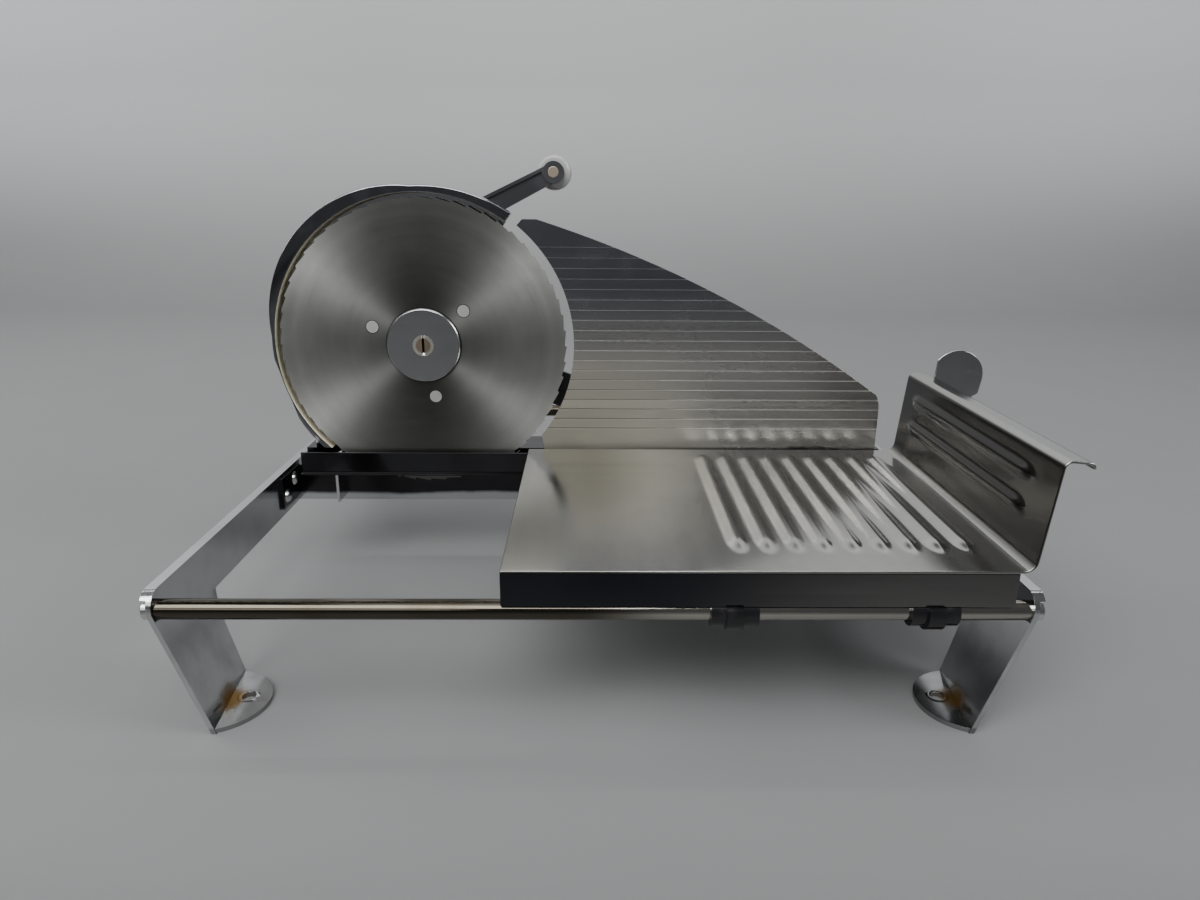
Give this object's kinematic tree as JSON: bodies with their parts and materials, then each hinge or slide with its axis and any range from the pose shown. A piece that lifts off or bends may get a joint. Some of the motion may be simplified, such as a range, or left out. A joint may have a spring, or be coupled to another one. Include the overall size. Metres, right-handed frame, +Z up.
{
  "type": "hand-cranked food slicer",
  "caption": "Chromed bench-top deli slicer with a guarded round blade turned by a geared crank, a sliding food carriage on rods and an adjustable slice thickness plate.",
  "frame": {"origin": "centre of the four foot holes, on the plane that the feet stand on", "axes": "+X along the carriage travel towards the carriage wall, +Y away from the food side towards the crank, +Z up"},
  "size_m": [0.4765, 0.3974, 0.2825],
  "materials": {
    "chrome_sheet": "chromed folded sheet steel",
    "chrome_rod": "chromed bar, slightly worn",
    "chrome_fasteners": "chromed heads and nuts",
    "chrome_guard": "mirror chrome",
    "chrome_plate": "chromed plate with fine grooves",
    "zinc_steel": "zinc-plated steel",
    "bronze": "sintered bronze",
    "dark_steel": "blackened steel",
    "blade_steel": "circular-brushed stainless steel",
    "disc_steel": "polished stainless steel",
    "brass_screw": "worn plated screw",
    "pin_steel": "satin pin ends",
    "gear_plastic": "moulded gear",
    "arm_casting": "dark die casting",
    "rivet_steel": "tarnished steel",
    "handle_plastic": "pale grey moulded plastic",
    "tray_steel": "satin stainless sheet",
    "apron_steel": "polished stainless sheet",
    "black_plastic": "black moulded plastic",
    "knob_plastic": "black moulded plastic"
  },
  "bodies": {
    "stand": {"left_side_frame": "chrome_sheet", "right_side_frame": "chrome_sheet", "front_rod": "chrome_rod", "rear_rod": "chrome_rod", "rod_nuts": "chrome_fasteners", "crossbar": "chrome_sheet", "carriage_rail": "chrome_sheet", "rail_brackets": "chrome_sheet", "frame_bolts": "chrome_fasteners", "frame_nuts": "zinc_steel", "blade_guard": "chrome_guard", "guard_bolts": "zinc_steel", "gear_cover": "chrome_guard", "cover_screws": "zinc_steel", "spindle_bush": "bronze", "crank_bush": "bronze", "slice_deflector": "dark_steel", "gauge_support": "zinc_steel", "support_screws": "zinc_steel"},
    "blade_unit": {"blade": "blade_steel", "clamp_disc": "disc_steel", "clamp_screw": "brass_screw", "drive_pins": "pin_steel", "drive_flange": "zinc_steel", "blade_spindle": "zinc_steel", "blade_gear": "gear_plastic", "spindle_ring": "dark_steel"},
    "crank": {"crank_shaft": "zinc_steel", "crank_pinion": "zinc_steel", "crank_arm": "arm_casting", "crank_nut": "chrome_fasteners", "handle_spindle": "rivet_steel"},
    "handle": {"crank_handle": "handle_plastic"},
    "carriage": {"tray": "tray_steel", "carriage_apron": "apron_steel", "guide_clips": "black_plastic", "rail_shoes": "black_plastic", "thumb_guard": "disc_steel"},
    "thickness_plate": {"gauge_plate": "chrome_plate", "plate_carrier": "zinc_steel", "guide_pins": "zinc_steel"},
    "adjuster": {"adjuster_spindle": "zinc_steel", "adjuster_knob": "knob_plastic", "knob_screw": "zinc_steel"}
  },
  "joints": [
    {"name": "carriage_slide", "type": "slide", "parent": "stand", "child": "carriage", "axis": [1, 0, 0], "range_m": [-0.15, 0]},
    {"name": "blade_spin", "type": "hinge", "parent": "stand", "child": "blade_unit", "pos_m": [-0.1135, 0, 0.16], "axis": [0, 1, 0], "continuous": true},
    {"name": "crank_turn", "type": "hinge", "parent": "stand", "child": "crank", "pos_m": [-0.14072, 0, 0.21459], "axis": [0, 1, 0], "continuous": true},
    {"name": "handle_spin", "type": "hinge", "parent": "crank", "child": "handle", "pos_m": [-0.02823, 0.08, 0.27068], "axis": [0, 1, 0], "continuous": true},
    {"name": "plate_slide", "type": "slide", "parent": "stand", "child": "thickness_plate", "axis": [0, 1, 0], "range_m": [-0.0015, 0.0125]},
    {"name": "adjuster_turn", "type": "hinge", "parent": "stand", "child": "adjuster", "pos_m": [0.11, 0.04, 0.112], "axis": [0, 1, 0], "range_deg": [-40, 300]}
  ],
  "couplings": [
    {"joint": "crank_turn", "follows": "blade_spin", "ratio": -2.05},
    {"joint": "adjuster_turn", "follows": "plate_slide", "rad_per_m": 392.7}
  ]
}
